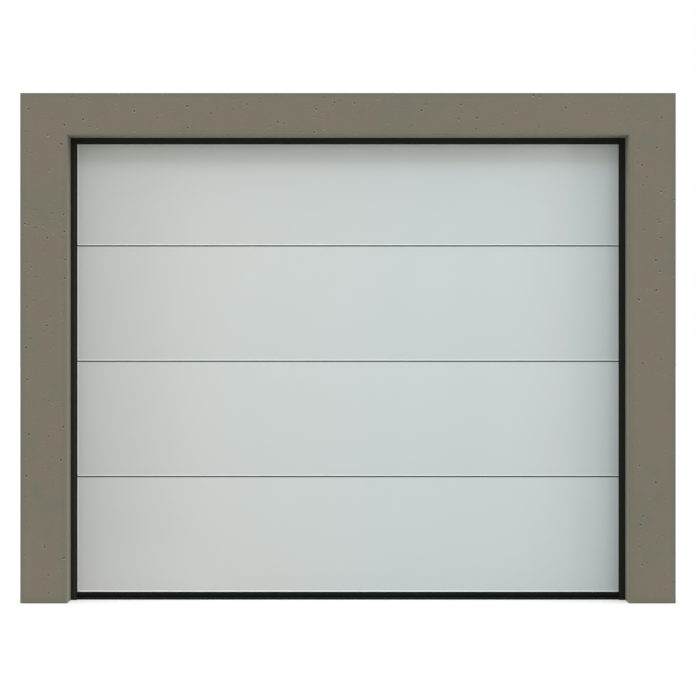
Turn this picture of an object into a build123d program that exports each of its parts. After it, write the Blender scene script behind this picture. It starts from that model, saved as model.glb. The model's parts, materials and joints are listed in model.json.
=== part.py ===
from build123d import *
import os

# Sectional overhead garage door in a cast concrete portal, in millimetres.
# +X is to the right seen from outside, +Y leads into the garage and +Z is up.
# The origin is on the floor, at the middle of the threshold under the door leaf.

# Concrete portal
opening_width = 2400.0
opening_height = 2000.0
pier_width = 200.0
lintel_height = 180.0
portal_depth = 200.0
portal_arris = 3.0

# Door leaf: equal sections that stand on the bottom seal, together as high as the opening
section_names = ["bottom_section", "lower_middle_section", "upper_middle_section", "top_section"]
section_count = len(section_names)
section_pitch = opening_height / section_count
section_thickness = 40.0
joint_gap = 4.0
lip_radius = 2.5
tongue_width = 18.0
tongue_taper = 4.0
tongue_height = 9.0
tongue_setback = 18.0
tongue_clearance = 1.5
stile_sheet = 2.0
stile_width = 90.0

# Seals round the leaf
side_seal_band = 28.0
header_seal_band = 27.0
seal_overlap = 12.0
seal_thickness = 3.0
seal_fit = 0.3
lip_reach = 16.0
lip_lean = 3.0
hook_reach = 16.0
bottom_seal_height = 16.0
bottom_seal_inset = 2.0
bottom_seal_bulge = 1.0
bottom_seal_taper = 5.0
bottom_seal_corner = 3.0
bottom_hollow_taper = 3.0
bottom_hollow_corner = 2.0
retainer_height = 18.0
retainer_inset = 1.0
retainer_wall = 2.5
seal_slot_width = 9.0
seal_slot_mouth = 4.0
seal_slot_height = 3.5
seal_slot_spacing = 22.0

# Frame behind the portal
frame_sheet = 2.0
frame_wall_leg = 122.0
frame_depth = 110.0
frame_return = 15.0
frame_bend = 3.0
seal_body_depth = 4.0
frame_edge_setback = 6.0
header_height = 120.0
header_flange = 30.0
header_end_gap = 1.0

# Tracks and rollers
track_width = 50.0
track_depth = 28.0
track_sheet = 2.0
track_lip = 8.0
track_bend = 4.0
track_to_leaf_end = 12.0
track_foot = 20.0
upper_track_inset = 2.0
roller_offset = 22.0
track_radius = 300.0
track_height_over_opening = 10.0
double_track_gap = 2.0
track_end_y = 2350.0
roller_diameter = 44.0
roller_width = 16.0
roller_bevel = 2.0
roller_shaft_diameter = 11.0
roller_shaft_inset = 80.0
running_clearance = 0.3

# Hinges
hinge_sheet = 3.0
hinge_height = 62.0
hinge_width = 64.0
hinge_axis_offset = 9.0
knuckle_radius = 7.0
end_hinge_inset = 5.0
bottom_roller_height = 90.0
bottom_bracket_inset = 10.0
bottom_bracket_margin = 30.0
top_carrier_height = 110.0
top_carrier_reach = 20.0
centre_hinge_places = [-395.0, 395.0]
carrier_sheet = 3.0
carrier_length = 60.0
carrier_bevel = 3.0
carrier_over_joint = 22.0

# Cables, pulleys and springs
cable_diameter = 4.0
cable_sides = 6
cable_to_track = 6.0
cable_setback = 12.0
top_pulley_radius = 35.0
block_pulley_radius = 22.0
pulley_width = 12.0
pulley_flange = 5.0
pulley_rim = 0.5
pulley_axle_diameter = 10.0
top_pulley_drop = 45.0
block_drop = 430.0
spring_outer_diameter = 28.0
spring_wire = 3.5
spring_spacing = 34.0
spring_anchor_height = 220.0
peg_diameter = 10.0
eye_radius = 9.0
eye_width = 6.0
eye_sides = 8
dead_end_drop = 60.0
yoke_drop = 25.0
yoke_margin = 3.0
axle_head = 5.0
peg_height = 74.0
peg_boss_extra = 6.0
peg_end_gap = 2.0

# Fixings
bracket_sheet = 3.0
bracket_height = 40.0
bracket_count = 3
bracket_first_height = 250.0
bracket_last_drop = 260.0
bracket_setback = 10.0
bracket_foot = 24.0
splice_length = 80.0
gusset_setback = 20.0
crossbar_leg = 40.0
crossbar_sheet = 3.0
hanger_hole_diameter = 11.0
hanger_hole_spacing = 60.0
hanger_hole_inset = 80.0

# Places that follow from the driving sizes
leaf_front = -section_thickness / 2
leaf_rear = section_thickness / 2
portal_back = leaf_front - lip_reach - frame_sheet - seal_fit
pier_face = opening_width / 2
leaf_bottom = bottom_seal_height + retainer_height
leaf_top = leaf_bottom + section_count * section_pitch
leaf_end = pier_face - side_seal_band + seal_overlap
panel_end = leaf_end - stile_sheet
stile_rear = leaf_rear + stile_sheet
joint_levels = [leaf_bottom + (i + 1) * section_pitch for i in range(section_count - 1)]
leg_rear = portal_back + frame_sheet
frame_edge = pier_face - side_seal_band + frame_edge_setback
frame_outer = frame_edge + frame_wall_leg
header_edge = opening_height - header_seal_band + frame_edge_setback
frame_top = header_edge + header_height
track_inner = leaf_end + track_to_leaf_end
track_outer = track_inner + track_depth
track_middle = (track_inner + track_outer) / 2
track_y = leaf_rear + roller_offset
track_z = opening_height + track_height_over_opening
upper_track_z = track_z + track_width + double_track_gap
upper_roller_y = track_y - track_width - double_track_gap
curve_start_z = track_z - track_radius
curve_end_y = track_y + track_radius
bottom_roller_z = leaf_bottom + bottom_roller_height
roller_levels = [bottom_roller_z] + [level + carrier_over_joint for level in joint_levels]
shaft_radius = roller_shaft_diameter / 2
carrier_half = shaft_radius + running_clearance + carrier_sheet
bracket_pitch = (curve_start_z - bracket_last_drop - bracket_first_height) / (bracket_count - 1)
bracket_levels = [bracket_first_height + i * bracket_pitch for i in range(bracket_count)]
cable_x = track_inner - cable_to_track
cable_y = track_y - cable_setback
top_pulley_x = cable_x + top_pulley_radius
spring_x = top_pulley_x + top_pulley_radius
top_pulley_z = opening_height - top_pulley_drop
block_y = cable_y - block_pulley_radius
block_z = top_pulley_z - block_drop


def save(piece, name):
    """Label one finished piece and write it as parts/name.step."""
    piece.part.label = name
    export_step(piece.part, f"parts/{name}.step")


def save_pair(right, name):
    """Write a right-hand piece and its mirror image for the left-hand side."""
    with BuildPart() as left:
        mirror(right.part, about=Plane.YZ)
    save(right, "right_" + name)
    save(left, "left_" + name)


def at_x(x):
    """Plane across the door at x, whose own axes run along +Y and +Z."""
    return Plane.YZ.offset(x)


def at_y(y):
    """Plane along the door at y, seen from the garage side, with +Z up."""
    return Plane((0, y, 0), x_dir=(-1, 0, 0), z_dir=(0, 1, 0))


os.makedirs("parts", exist_ok=True)

# Portal: one casting, drawn whole so that its arrises mitre, then parted at the soffit
with BuildPart() as portal:
    with BuildSketch(at_y(portal_back)):
        Rectangle(opening_width + 2 * pier_width, opening_height + lintel_height,
                  align=(Align.CENTER, Align.MIN))
        Rectangle(opening_width, opening_height, align=(Align.CENTER, Align.MIN),
                  mode=Mode.SUBTRACT)
    extrude(amount=-portal_depth)
    front_face = portal.faces().sort_by(Axis.Y)[0]
    chamfer(front_face.edges().filter_by(lambda edge: edge.center().Z > portal_arris), portal_arris)

with BuildPart() as lintel:
    add(portal.part)
    split(bisect_by=Plane.XY.offset(opening_height), keep=Keep.TOP)
save(lintel, "lintel")

with BuildPart() as right_pier:
    add(portal.part)
    split(bisect_by=Plane.XY.offset(opening_height), keep=Keep.BOTTOM)
    split(bisect_by=Plane.YZ, keep=Keep.TOP)
save_pair(right_pier, "pier")


def tongue_outline(base, clearance):
    """Outline of a section's tapered tongue on its base, or of a groove that clears it."""
    middle = leaf_front + tongue_setback
    wide = tongue_width / 2 + clearance
    narrow = wide - tongue_taper
    tip = base + tongue_height + clearance
    with BuildSketch() as tongue:
        with BuildLine():
            Polyline((middle - wide, base), (middle + wide, base), (middle + narrow, tip),
                     (middle - narrow, tip), close=True)
        make_face()
    return tongue.sketch


def section_outline(low, high, grooved, tongued):
    """Draw a section's outline seen from its end, between its lower and upper edge."""
    with BuildSketch() as outline:
        with Locations((0, (low + high) / 2)):
            RectangleRounded(section_thickness, high - low, lip_radius)
        if tongued:
            add(tongue_outline(high, 0))
        if grooved:
            add(tongue_outline(low - joint_gap, tongue_clearance), mode=Mode.SUBTRACT)
    return outline.sketch


def section_levels(index):
    """Lower and upper edge of one section, half a joint gap short at each joint."""
    low = leaf_bottom + index * section_pitch + (joint_gap / 2 if index > 0 else 0)
    last = index == section_count - 1
    high = leaf_bottom + (index + 1) * section_pitch - (0 if last else joint_gap / 2)
    return low, high


# Sections: flush sandwich panels with a tapered tongue above and a groove below
for index, section_name in enumerate(section_names):
    low, high = section_levels(index)
    with BuildPart() as section:
        with BuildSketch(at_x(0)):
            add(section_outline(low, high, index > 0, index < section_count - 1))
        extrude(amount=panel_end, both=True)
    save(section, section_name)

# End stiles: folded sheet caps that close each panel's end and carry the end hinges
with BuildPart() as right_end_stiles:
    for index in range(section_count):
        low, high = section_levels(index)
        with BuildSketch(at_x(panel_end)):
            add(section_outline(low, high, index > 0, index < section_count - 1))
        extrude(amount=stile_sheet)
        with BuildSketch(at_x(leaf_end)):
            with Locations((leaf_rear + stile_sheet / 2, (low + high) / 2)):
                Rectangle(stile_sheet, high - low - 2 * lip_radius)
        extrude(amount=-stile_width)
save_pair(right_end_stiles, "end_stiles")

# Bottom retainer: extrusion under the lowest section with two slots for the seal
with BuildPart() as bottom_retainer:
    retainer_width = section_thickness - 2 * retainer_inset
    with BuildSketch(at_x(0)):
        with Locations((0, bottom_seal_height)):
            Rectangle(retainer_width, retainer_height, align=(Align.CENTER, Align.MIN))
        with Locations((0, leaf_bottom - retainer_wall)):
            Rectangle(retainer_width - 2 * retainer_wall,
                      retainer_height - 2 * retainer_wall - seal_slot_height,
                      align=(Align.CENTER, Align.MAX), mode=Mode.SUBTRACT)
        for side in (-1, 1):
            with Locations((side * seal_slot_spacing / 2, bottom_seal_height)):
                Rectangle(seal_slot_mouth, retainer_wall,
                          align=(Align.CENTER, Align.MIN), mode=Mode.SUBTRACT)
            with Locations((side * seal_slot_spacing / 2, bottom_seal_height + retainer_wall / 2)):
                Rectangle(seal_slot_width, seal_slot_height,
                          align=(Align.CENTER, Align.MIN), mode=Mode.SUBTRACT)
    extrude(amount=leaf_end, both=True)
save(bottom_retainer, "bottom_retainer")

# Bottom seal: hollow rubber profile with a flat sole and two heads in the slots
with BuildPart() as bottom_seal:
    with BuildSketch(at_x(0)):
        half = section_thickness / 2 - bottom_seal_inset
        bulge = half + bottom_seal_bulge
        sole = half - bottom_seal_taper
        with BuildLine():
            Polyline((-half, bottom_seal_height), (half, bottom_seal_height))
            FilletPolyline((half, bottom_seal_height), (bulge, bottom_seal_height / 2), (sole, 0),
                           (-sole, 0), (-bulge, bottom_seal_height / 2),
                           (-half, bottom_seal_height), radius=bottom_seal_corner)
        make_face()
        inner = half - seal_thickness
        inner_sole = inner - bottom_hollow_taper
        with BuildLine():
            FilletPolyline((inner, bottom_seal_height - seal_thickness), (inner_sole, seal_thickness),
                           (-inner_sole, seal_thickness), (-inner, bottom_seal_height - seal_thickness),
                           radius=bottom_hollow_corner, close=True)
        make_face(mode=Mode.SUBTRACT)
        for side in (-1, 1):
            with Locations((side * seal_slot_spacing / 2, bottom_seal_height)):
                Rectangle(seal_slot_mouth - 2 * seal_fit, retainer_wall,
                          align=(Align.CENTER, Align.MIN))
            with Locations((side * seal_slot_spacing / 2,
                            bottom_seal_height + retainer_wall / 2 + seal_fit)):
                Rectangle(seal_slot_width - 2 * seal_fit, seal_slot_height - 2 * seal_fit,
                          align=(Align.CENTER, Align.MIN))
    extrude(amount=leaf_end, both=True)
save(bottom_seal, "bottom_seal")


def folded(points, sheet, radius):
    """Section of a folded or rolled sheet that follows a line through its middle."""
    with BuildSketch() as profile:
        with BuildLine():
            FilletPolyline(*points, radius=radius)
        trace(line_width=sheet)
    return profile.sketch


# Frame posts: folded angles behind the piers, with a wall leg and a deep side leg
with BuildPart() as right_frame_post:
    wall_y = portal_back + frame_sheet / 2
    side_x = frame_outer - frame_sheet / 2
    rear_y = portal_back + frame_depth - frame_sheet / 2
    with BuildSketch():
        add(folded([(frame_edge, wall_y), (side_x, wall_y), (side_x, rear_y),
                    (side_x - frame_return, rear_y)], frame_sheet, frame_bend))
    extrude(amount=frame_top)
save_pair(right_frame_post, "frame_post")

# Header rail: the same folded sheet between the posts, behind the lintel
with BuildPart() as header_rail:
    half_length = frame_edge - header_end_gap
    top_z = frame_top - frame_sheet / 2
    with BuildSketch(at_x(0)):
        add(folded([(wall_y, header_edge), (wall_y, top_z), (wall_y + header_flange, top_z)],
                   frame_sheet, frame_bend))
    extrude(amount=half_length, both=True)
save(header_rail, "header_rail")


def edge_seal(face, band):
    """Clip-on rubber seal round a frame edge, for an opening whose side lies at face.

    Across the door it runs from the masonry to the tip of the band, where its lip leans
    back to the leaf, and it hooks round the free edge of the frame's wall leg.
    """
    tip = face - band
    edge = tip + frame_edge_setback
    front = portal_back - seal_body_depth
    hook_rear = leg_rear + seal_fit + seal_thickness
    middle = seal_thickness / 2
    with BuildSketch() as profile:
        with BuildLine():
            FilletPolyline((face - seal_fit, front + middle), (tip + middle + lip_lean, front + middle),
                           (tip + middle, leaf_front - 2 * seal_fit), radius=seal_thickness)
        trace(line_width=seal_thickness)
        with Locations((edge - seal_fit - middle, front + middle)):
            Rectangle(seal_thickness, hook_rear - front - middle, align=(Align.CENTER, Align.MIN))
        with Locations((edge - seal_fit - middle, hook_rear)):
            Rectangle(hook_reach, seal_thickness, align=(Align.MIN, Align.MAX))
    return profile.sketch


def track_profile(width, depth):
    """Track section with its web on the right and its mouth between two lips on the left."""
    with BuildSketch(mode=Mode.PRIVATE) as hollow:
        Rectangle(depth - 2 * track_sheet, width - 2 * track_sheet)
        chamfer(hollow.vertices(), track_bend - track_sheet / 2)
    with BuildSketch() as profile:
        Rectangle(depth, width)
        chamfer(profile.vertices(), track_bend)
        add(hollow.sketch, mode=Mode.SUBTRACT)
        with Locations((-depth / 2, 0)):
            Rectangle(depth / 2, width - 2 * track_lip, mode=Mode.SUBTRACT)
    return profile.sketch


def seal_mitre(side):
    """Cut between the header seal, above it, and the side seal on the right (1) or left (-1)."""
    return Plane((side * pier_face, 0, opening_height), x_dir=(0, 1, 0),
                 z_dir=(-side * header_seal_band, 0, side_seal_band))


# Side and header seals: black rubber strips that close on the leaf's outer face, mitred in the corners
with BuildPart() as right_side_seal:
    with BuildSketch():
        add(edge_seal(pier_face, side_seal_band))
    extrude(amount=opening_height)
    split(bisect_by=seal_mitre(1).offset(-seal_fit / 2), keep=Keep.BOTTOM)
save_pair(right_side_seal, "side_seal")

header_plane = Plane((0, 0, 0), x_dir=(0, 0, 1), z_dir=(-1, 0, 0))
with BuildPart() as header_seal:
    with BuildSketch(header_plane):
        add(edge_seal(opening_height, header_seal_band))
    extrude(amount=pier_face, both=True)
    for side in (1, -1):
        split(bisect_by=seal_mitre(side).offset(seal_fit / 2), keep=Keep.TOP)
save(header_seal, "header_seal")

# Tracks: rolled channels whose mouths face the leaf
with BuildPart() as right_vertical_track:
    with BuildSketch(Plane.XY.offset(track_foot)):
        with Locations((track_middle, track_y)):
            add(track_profile(track_width, track_depth))
    extrude(amount=curve_start_z - track_foot)
save_pair(right_vertical_track, "vertical_track")

with BuildPart() as right_curved_track:
    with BuildSketch(Plane.XY.offset(curve_start_z)):
        with Locations((track_middle, track_y)):
            add(track_profile(track_width, track_depth))
    revolve(axis=Axis((0, curve_end_y, curve_start_z), (-1, 0, 0)), revolution_arc=90)
save_pair(right_curved_track, "curved_track")


# Horizontal tracks: the lower one carries on from the bend, the upper one is for the top roller
with BuildPart() as right_horizontal_tracks:
    for level, front in ((track_z, curve_end_y), (upper_track_z, leg_rear + upper_track_inset)):
        with BuildSketch(Plane.XZ.offset(-front)):
            with Locations((track_middle, level)):
                add(track_profile(track_width, track_depth))
        extrude(amount=front - track_end_y)
save_pair(right_horizontal_tracks, "horizontal_tracks")


def shaft_along_x(y, z, start, end, radius):
    """Round bar across the door between two places on the X axis."""
    with BuildPart() as bar:
        with BuildSketch(at_x(start)):
            with Locations((y, z)):
                Circle(radius)
        extrude(amount=end - start)
    return bar.part


def shaft_along_y(x, z, start, end, radius):
    """Round bar along the depth of the door between two places on the Y axis."""
    with BuildPart() as bar:
        with BuildSketch(Plane.XZ.offset(-start)):
            with Locations((x, z)):
                Circle(radius)
        extrude(amount=start - end)
    return bar.part


def roller_wheel(plane, outer, bore):
    """Roller turned about the plane's own X axis, with bevelled rims."""
    with BuildPart() as wheel:
        with BuildSketch(plane) as blank:
            with Locations((0, (bore + outer) / 2)):
                Rectangle(roller_width, outer - bore)
            chamfer(blank.vertices().group_by(Axis.Y)[-1], roller_bevel)
        revolve(axis=Axis(plane.origin, plane.x_dir))
    return wheel.part


def across(x, y, z):
    """Plane at a point whose own X runs across the door and whose Y points up."""
    return Plane((x, y, z), x_dir=(1, 0, 0), z_dir=(0, -1, 0))


roller_places = [(track_y, level) for level in roller_levels] + [(upper_roller_y, upper_track_z)]

# Rollers: nylon wheels inside the tracks, each on a steel shaft held by the leaf
with BuildPart() as right_rollers:
    for roller_y, level in roller_places:
        add(roller_wheel(across(track_middle, roller_y, level), roller_diameter / 2,
                         shaft_radius + running_clearance))
save_pair(right_rollers, "rollers")

with BuildPart() as right_roller_shafts:
    for roller_y, level in roller_places:
        add(shaft_along_x(roller_y, level, leaf_end - roller_shaft_inset,
                          track_middle + roller_width / 2, shaft_radius))
save_pair(right_roller_shafts, "roller_shafts")


def hinge(x, level, seat):
    """Hinge whose two leaves lie on a seat and whose barrel is level with the joint."""
    with BuildPart() as body:
        for direction in (-1, 1):
            with BuildSketch(at_y(seat)):
                with Locations((-x, level + direction * (hinge_height + joint_gap / 2) / 2)):
                    Rectangle(hinge_width, hinge_height - joint_gap / 2)
            extrude(amount=hinge_sheet)
        add(shaft_along_x(leaf_rear + hinge_axis_offset, level, x - hinge_width / 2,
                          x + hinge_width / 2, knuckle_radius))
    return body.part


def roller_holder(x, y, level, seat):
    """Folded holder that carries a roller shaft on a plate whose face is at seat."""
    rear = y + carrier_half
    with BuildPart() as holder:
        with BuildSketch(at_x(x - carrier_length / 2)) as profile:
            with Locations((seat, level)):
                Rectangle(rear - seat, 2 * carrier_half, align=(Align.MIN, Align.CENTER))
            chamfer(profile.vertices().group_by(Axis.Y)[-1], carrier_bevel)
            with Locations((seat, level)):
                Rectangle(rear - carrier_sheet - seat, 2 * (carrier_half - carrier_sheet),
                          align=(Align.MIN, Align.CENTER), mode=Mode.SUBTRACT)
        extrude(amount=carrier_length)
    return holder.part


# Centre hinges: two at each joint, screwed to the panels
with BuildPart() as centre_hinges:
    for level in joint_levels:
        for x in centre_hinge_places:
            add(hinge(x, level, leaf_rear))
save(centre_hinges, "centre_hinges")

# Roller hinges: at each end of each joint, with a roller holder on the upper leaf
end_hinge_x = leaf_end - end_hinge_inset - hinge_width / 2
plate_rear = stile_rear + hinge_sheet
with BuildPart() as right_roller_hinges:
    for level in joint_levels:
        add(hinge(end_hinge_x, level, stile_rear))
        add(roller_holder(end_hinge_x, track_y, level + carrier_over_joint, plate_rear))
save_pair(right_roller_hinges, "roller_hinges")

# Bottom brackets: carry the lowest rollers and the cable pegs
with BuildPart() as right_bottom_bracket:
    plate_low = leaf_bottom + bottom_bracket_inset
    plate_high = bottom_roller_z + bottom_bracket_margin
    with BuildSketch(at_y(stile_rear)):
        with Locations((-end_hinge_x, (plate_low + plate_high) / 2)):
            RectangleRounded(hinge_width, plate_high - plate_low, bottom_bracket_inset / 2)
    extrude(amount=hinge_sheet)
    add(roller_holder(end_hinge_x, track_y, bottom_roller_z, plate_rear))
    with BuildSketch(at_x(end_hinge_x)):
        with Locations(((stile_rear + cable_y) / 2, peg_height)):
            Rectangle(cable_y - stile_rear, peg_diameter + peg_boss_extra)
    extrude(amount=hinge_width / 2)
    add(shaft_along_x(cable_y, peg_height, end_hinge_x + hinge_width / 4, track_inner - peg_end_gap,
                      peg_diameter / 2))
save_pair(right_bottom_bracket, "bottom_bracket")

# Top carriers: reach over the leaf's top edge to the rollers in the upper tracks
with BuildPart() as right_top_carrier:
    plate_low = leaf_top - top_carrier_height
    with BuildSketch(at_y(stile_rear)):
        with Locations((-end_hinge_x, (plate_low + leaf_top) / 2)):
            Rectangle(hinge_width, top_carrier_height)
    extrude(amount=hinge_sheet)
    rear = plate_rear + top_carrier_reach
    cheek_half = carrier_half + carrier_sheet
    under = upper_track_z - cheek_half
    over = upper_track_z + cheek_half
    for x in (end_hinge_x - hinge_width / 2, end_hinge_x + hinge_width / 2 - hinge_sheet):
        with BuildSketch(at_x(x)):
            with BuildLine():
                Polyline((stile_rear, plate_low), (plate_rear, plate_low),
                         (rear, plate_low + top_carrier_reach), (rear, under),
                         (upper_roller_y + cheek_half, over), (upper_roller_y - cheek_half, over),
                         (upper_roller_y - cheek_half, under), (stile_rear, under), close=True)
            make_face()
        extrude(amount=hinge_sheet)
    with BuildSketch(at_x(end_hinge_x - carrier_length / 2)):
        with Locations((upper_roller_y, upper_track_z)):
            Rectangle(2 * carrier_half, 2 * carrier_half)
    extrude(amount=carrier_length)
    with BuildSketch(at_x(end_hinge_x - hinge_width)):
        with Locations((upper_roller_y, upper_track_z)):
            Rectangle(2 * (carrier_half - carrier_sheet), 2 * (carrier_half - carrier_sheet))
    extrude(amount=2 * hinge_width, mode=Mode.SUBTRACT)
save_pair(right_top_carrier, "top_carrier")


def plate_at_x(points, start, thickness):
    """Flat plate across X, cut to an outline given as pairs along Y and Z."""
    with BuildPart() as plate:
        with BuildSketch(at_x(start)):
            with BuildLine():
                Polyline(*points, close=True)
            make_face()
        extrude(amount=thickness)
    return plate.part


# Track brackets: hold the tracks on the frame post and to each other
track_half = track_width / 2
upper_low = upper_track_z - track_half
upper_high = upper_track_z + track_half
lower_low = track_z - track_half
post_inside = frame_outer - frame_sheet
with BuildPart() as right_track_brackets:
    half_sheet = bracket_sheet / 2
    post_foot_x = post_inside - half_sheet
    web_foot_x = track_outer + half_sheet
    cross_y = track_y + track_half - bracket_setback
    for level in bracket_levels:
        with BuildSketch(Plane.XY.offset(level)):
            add(folded([(post_foot_x, cross_y + bracket_setback), (post_foot_x, cross_y),
                        (web_foot_x, cross_y), (web_foot_x, cross_y - bracket_foot)],
                       bracket_sheet, bracket_sheet))
        extrude(amount=bracket_height)
    splice_low = curve_start_z - splice_length / 2
    splice_high = curve_start_z + splice_length / 2
    add(plate_at_x([(track_y - track_half / 2, splice_low), (track_y + track_half / 2, splice_low),
                    (track_y + track_half / 2, splice_high), (track_y - track_half / 2, splice_high)],
                   track_outer, bracket_sheet))
    quarter_y = track_y + track_radius / 4
    middle_y = track_y + track_radius / 2
    gusset_end = curve_end_y + track_radius / 4
    gusset_front = track_y + gusset_setback
    gusset_low = curve_start_z + track_radius / 2
    add(plate_at_x([(leg_rear, upper_high), (gusset_end, upper_high), (gusset_end, lower_low),
                    (curve_end_y, lower_low), (middle_y, lower_low - track_half),
                    (quarter_y, gusset_low), (gusset_front, gusset_low),
                    (gusset_front, upper_low), (leg_rear, upper_low)],
                   track_outer, bracket_sheet))
    with BuildSketch(Plane.XY.offset(upper_low)):
        add(folded([(web_foot_x, leg_rear + bracket_height), (web_foot_x, leg_rear + half_sheet),
                    (web_foot_x + bracket_height, leg_rear + half_sheet)],
                   bracket_sheet, bracket_sheet))
    extrude(amount=track_width)
    for y in ((curve_end_y + track_end_y) / 2, track_end_y - bracket_height):
        add(plate_at_x([(y - bracket_height, lower_low), (y + bracket_height, lower_low),
                        (y + bracket_height, upper_high), (y - bracket_height, upper_high)],
                       track_outer, bracket_sheet))
save_pair(right_track_brackets, "track_brackets")

# Rear crossbar: an angle across the ends of the upper tracks, with holes for hangers
with BuildPart() as rear_crossbar:
    with BuildSketch(at_x(0)):
        with Locations((track_end_y, upper_high)):
            Rectangle(crossbar_leg, crossbar_sheet, align=(Align.MAX, Align.MIN))
            Rectangle(crossbar_sheet, crossbar_leg, align=(Align.MAX, Align.MIN))
    extrude(amount=track_outer + bracket_sheet, both=True)
    hanger_x = track_outer - hanger_hole_inset
    hanger_z = upper_high + crossbar_sheet + (crossbar_leg - crossbar_sheet) / 2
    with Locations(*[Plane((side * hanger_x + end * hanger_hole_spacing / 2, track_end_y, hanger_z),
                           x_dir=(1, 0, 0), z_dir=(0, 1, 0))
                     for side in (-1, 1) for end in (-1, 1)]):
        Hole(hanger_hole_diameter / 2, depth=crossbar_sheet * 2)
save(rear_crossbar, "rear_crossbar")


def eye_outline():
    """Outline of the pressed eye at a cable's end, which clears its peg on all sides."""
    with BuildSketch() as eye:
        RegularPolygon(eye_radius + cable_radius, eye_sides)
        RegularPolygon(peg_diameter / 2 + running_clearance, eye_sides, major_radius=False,
                       mode=Mode.SUBTRACT)
    return eye.sketch


# Cables: from the bottom bracket over the top pulley, under the spring block and up
cable_radius = cable_diameter / 2
dead_end_y = block_y - block_pulley_radius
dead_end_z = top_pulley_z - dead_end_drop
with BuildPart() as right_lift_cable:
    with BuildLine() as run:
        Line((cable_x, cable_y, peg_height + eye_radius), (cable_x, cable_y, top_pulley_z))
        ThreePointArc((cable_x, cable_y, top_pulley_z),
                      (top_pulley_x, cable_y, top_pulley_z + top_pulley_radius),
                      (spring_x, cable_y, top_pulley_z))
        Line((spring_x, cable_y, top_pulley_z), (spring_x, cable_y, block_z))
        ThreePointArc((spring_x, cable_y, block_z), (spring_x, block_y, block_z - block_pulley_radius),
                      (spring_x, dead_end_y, block_z))
        Line((spring_x, dead_end_y, block_z), (spring_x, dead_end_y, dead_end_z - eye_radius))
    with BuildSketch(Plane.XY.offset(peg_height + eye_radius)):
        with Locations((cable_x, cable_y)):
            RegularPolygon(cable_radius, cable_sides)
    sweep(path=run.wire())
    with BuildSketch(at_x(cable_x)):
        with Locations((cable_y, peg_height)):
            add(eye_outline())
    extrude(amount=eye_width / 2, both=True)
    with BuildSketch(Plane.XZ.offset(-dead_end_y)):
        with Locations((spring_x, dead_end_z)):
            add(eye_outline())
    extrude(amount=eye_width / 2, both=True)
save_pair(right_lift_cable, "lift_cable")

# Pulleys: the fixed top pulley, the spring block with its yoke, and the anchor pegs
groove_radius = cable_radius + running_clearance


def cable_pulley(plane, rope_radius, bore):
    """Cable pulley turned about the plane's own X axis, with a tapered groove."""
    side = pulley_width / 2
    rim = rope_radius + pulley_flange
    with BuildPart() as wheel:
        with BuildSketch(plane):
            with BuildLine():
                Polyline((-side, bore), (side, bore), (side, rim), (side - pulley_rim, rim),
                         (0, rope_radius - 2 * groove_radius), (pulley_rim - side, rim),
                         (-side, rim), close=True)
            make_face()
        revolve(axis=Axis(plane.origin, plane.x_dir))
    return wheel.part


axle_radius = pulley_axle_diameter / 2
along = Plane((top_pulley_x, cable_y, top_pulley_z), x_dir=(0, 1, 0), z_dir=(1, 0, 0))
with BuildPart() as right_pulleys:
    add(cable_pulley(along, top_pulley_radius, axle_radius + running_clearance))
    add(cable_pulley(across(spring_x, block_y, block_z), block_pulley_radius,
                     axle_radius + running_clearance))
save_pair(right_pulleys, "pulleys")

# Spring fittings: pulley axle, block yoke, dead-end peg and the pegs that hold the springs
yoke_pin_z = block_z - block_pulley_radius - yoke_drop
spring_reach = spring_spacing / 2 + spring_outer_diameter / 2
with BuildPart() as right_spring_fittings:
    add(shaft_along_y(top_pulley_x, top_pulley_z, leg_rear, cable_y + pulley_width / 2 + axle_head,
                      axle_radius))
    add(shaft_along_y(top_pulley_x, top_pulley_z, leg_rear, cable_y - pulley_width / 2 - running_clearance,
                      axle_radius + bracket_sheet))
    add(shaft_along_y(top_pulley_x, top_pulley_z, cable_y + pulley_width / 2 + running_clearance,
                      cable_y + pulley_width / 2 + axle_head, axle_radius + bracket_sheet))
    yoke_half = axle_radius + yoke_margin
    for side in (-1, 1):
        cheek_x = spring_x + side * (pulley_width / 2 + running_clearance)
        add(plate_at_x([(block_y - yoke_half, block_z + yoke_half), (block_y + yoke_half, block_z + yoke_half),
                        (block_y + yoke_half, yoke_pin_z - yoke_half),
                        (block_y - yoke_half, yoke_pin_z - yoke_half)],
                       cheek_x if side > 0 else cheek_x - bracket_sheet, bracket_sheet))
    cheek_reach = pulley_width / 2 + running_clearance + bracket_sheet
    add(shaft_along_x(block_y, block_z, spring_x - cheek_reach, spring_x + cheek_reach, axle_radius))
    add(shaft_along_x(block_y, yoke_pin_z, spring_x - spring_reach, spring_x + spring_reach, axle_radius))
    add(shaft_along_x(block_y, spring_anchor_height, spring_x - spring_reach, post_inside, axle_radius))
    add(shaft_along_y(spring_x, dead_end_z, leg_rear, dead_end_y + eye_width, peg_diameter / 2))
save_pair(right_spring_fittings, "spring_fittings")

# Springs: a pair a side, stretched between the yoke and the anchor peg, with end hooks
hook_half = axle_radius + running_clearance + spring_wire
coil_low = spring_anchor_height + 2 * hook_half
coil_high = yoke_pin_z - 2 * hook_half
with BuildPart() as right_springs:
    for side in (-1, 1):
        x = spring_x + side * spring_spacing / 2
        with BuildSketch(Plane.XY.offset(coil_low)):
            with Locations((x, block_y)):
                Circle(spring_outer_diameter / 2)
        extrude(amount=coil_high - coil_low)
        for level, tip, end in ((spring_anchor_height, spring_anchor_height - hook_half, coil_low),
                                (yoke_pin_z, yoke_pin_z + hook_half, coil_high)):
            with BuildSketch(at_x(x - spring_wire / 2)):
                with Locations((block_y, (tip + end) / 2)):
                    Rectangle(2 * hook_half, abs(end - tip))
                with Locations((block_y, level)):
                    Rectangle(2 * (hook_half - spring_wire), 2 * (hook_half - spring_wire),
                              mode=Mode.SUBTRACT)
            extrude(amount=spring_wire)
save_pair(right_springs, "springs")
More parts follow.
